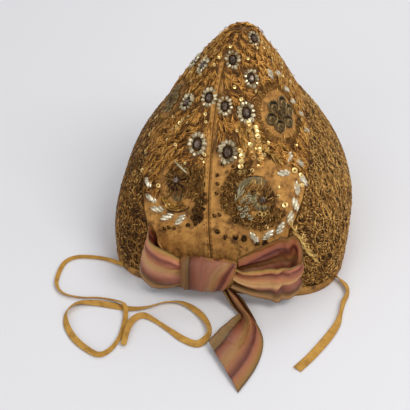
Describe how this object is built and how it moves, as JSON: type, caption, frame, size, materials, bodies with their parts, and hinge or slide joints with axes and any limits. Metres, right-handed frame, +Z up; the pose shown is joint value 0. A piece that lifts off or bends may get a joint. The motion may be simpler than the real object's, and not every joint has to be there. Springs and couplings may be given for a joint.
{
  "type": "embroidered bonnet",
  "caption": "Peaked bonnet with gold embroidery, paste stones, a striped ribbon bow at the nape and tape ties; it covers the back of the head.",
  "frame": {"origin": "foot of the nape, in the middle of the flat underside of the rim casing", "axes": "+Z up from the rim to the peak, +Y from the nape towards the face side, +X to the wearer's right as seen from behind"},
  "size_m": [0.2221, 0.2995, 0.166],
  "materials": {
    "gold_embroidery": "gold thread couched over silk",
    "silk_casing": "soft sheen",
    "padded_purl": "coiled metal purl over padding",
    "paste_stone": "cut and polished",
    "striped_ribbon": "striped silk",
    "ochre_tape": "woven tape"
  },
  "bodies": {
    "root": {"crown_left": "gold_embroidery", "crown_right": "gold_embroidery", "wing_left": "gold_embroidery", "wing_right": "gold_embroidery", "rim_casing": "silk_casing", "rosette_left": "padded_purl", "rosette_right": "padded_purl", "medallion_left": "padded_purl", "medallion_right": "padded_purl", "strass_01": "paste_stone", "strass_02": "paste_stone", "strass_03": "paste_stone", "strass_04": "paste_stone", "strass_05": "paste_stone", "strass_06": "paste_stone", "strass_07": "paste_stone", "strass_08": "paste_stone", "strass_09": "paste_stone", "strass_10": "paste_stone", "strass_11": "paste_stone", "garland_left_01": "paste_stone", "garland_left_02": "paste_stone", "garland_left_03": "paste_stone", "garland_left_04": "paste_stone", "garland_left_05": "paste_stone", "garland_right_01": "paste_stone", "garland_right_02": "paste_stone", "garland_right_03": "paste_stone", "garland_right_04": "paste_stone", "garland_right_05": "paste_stone", "garland_right_06": "paste_stone", "garland_right_07": "paste_stone", "garland_right_08": "paste_stone", "garland_right_09": "paste_stone", "garland_right_10": "paste_stone", "spray_01": "paste_stone", "spray_02": "paste_stone", "spray_03": "paste_stone", "spray_04": "paste_stone", "spray_05": "paste_stone", "spray_06": "paste_stone", "bow_loop_left": "striped_ribbon", "bow_loop_right": "striped_ribbon", "bow_tail": "striped_ribbon", "bow_knot": "striped_ribbon", "tie_left": "ochre_tape", "tie_right": "ochre_tape"}
  },
  "joints": []
}
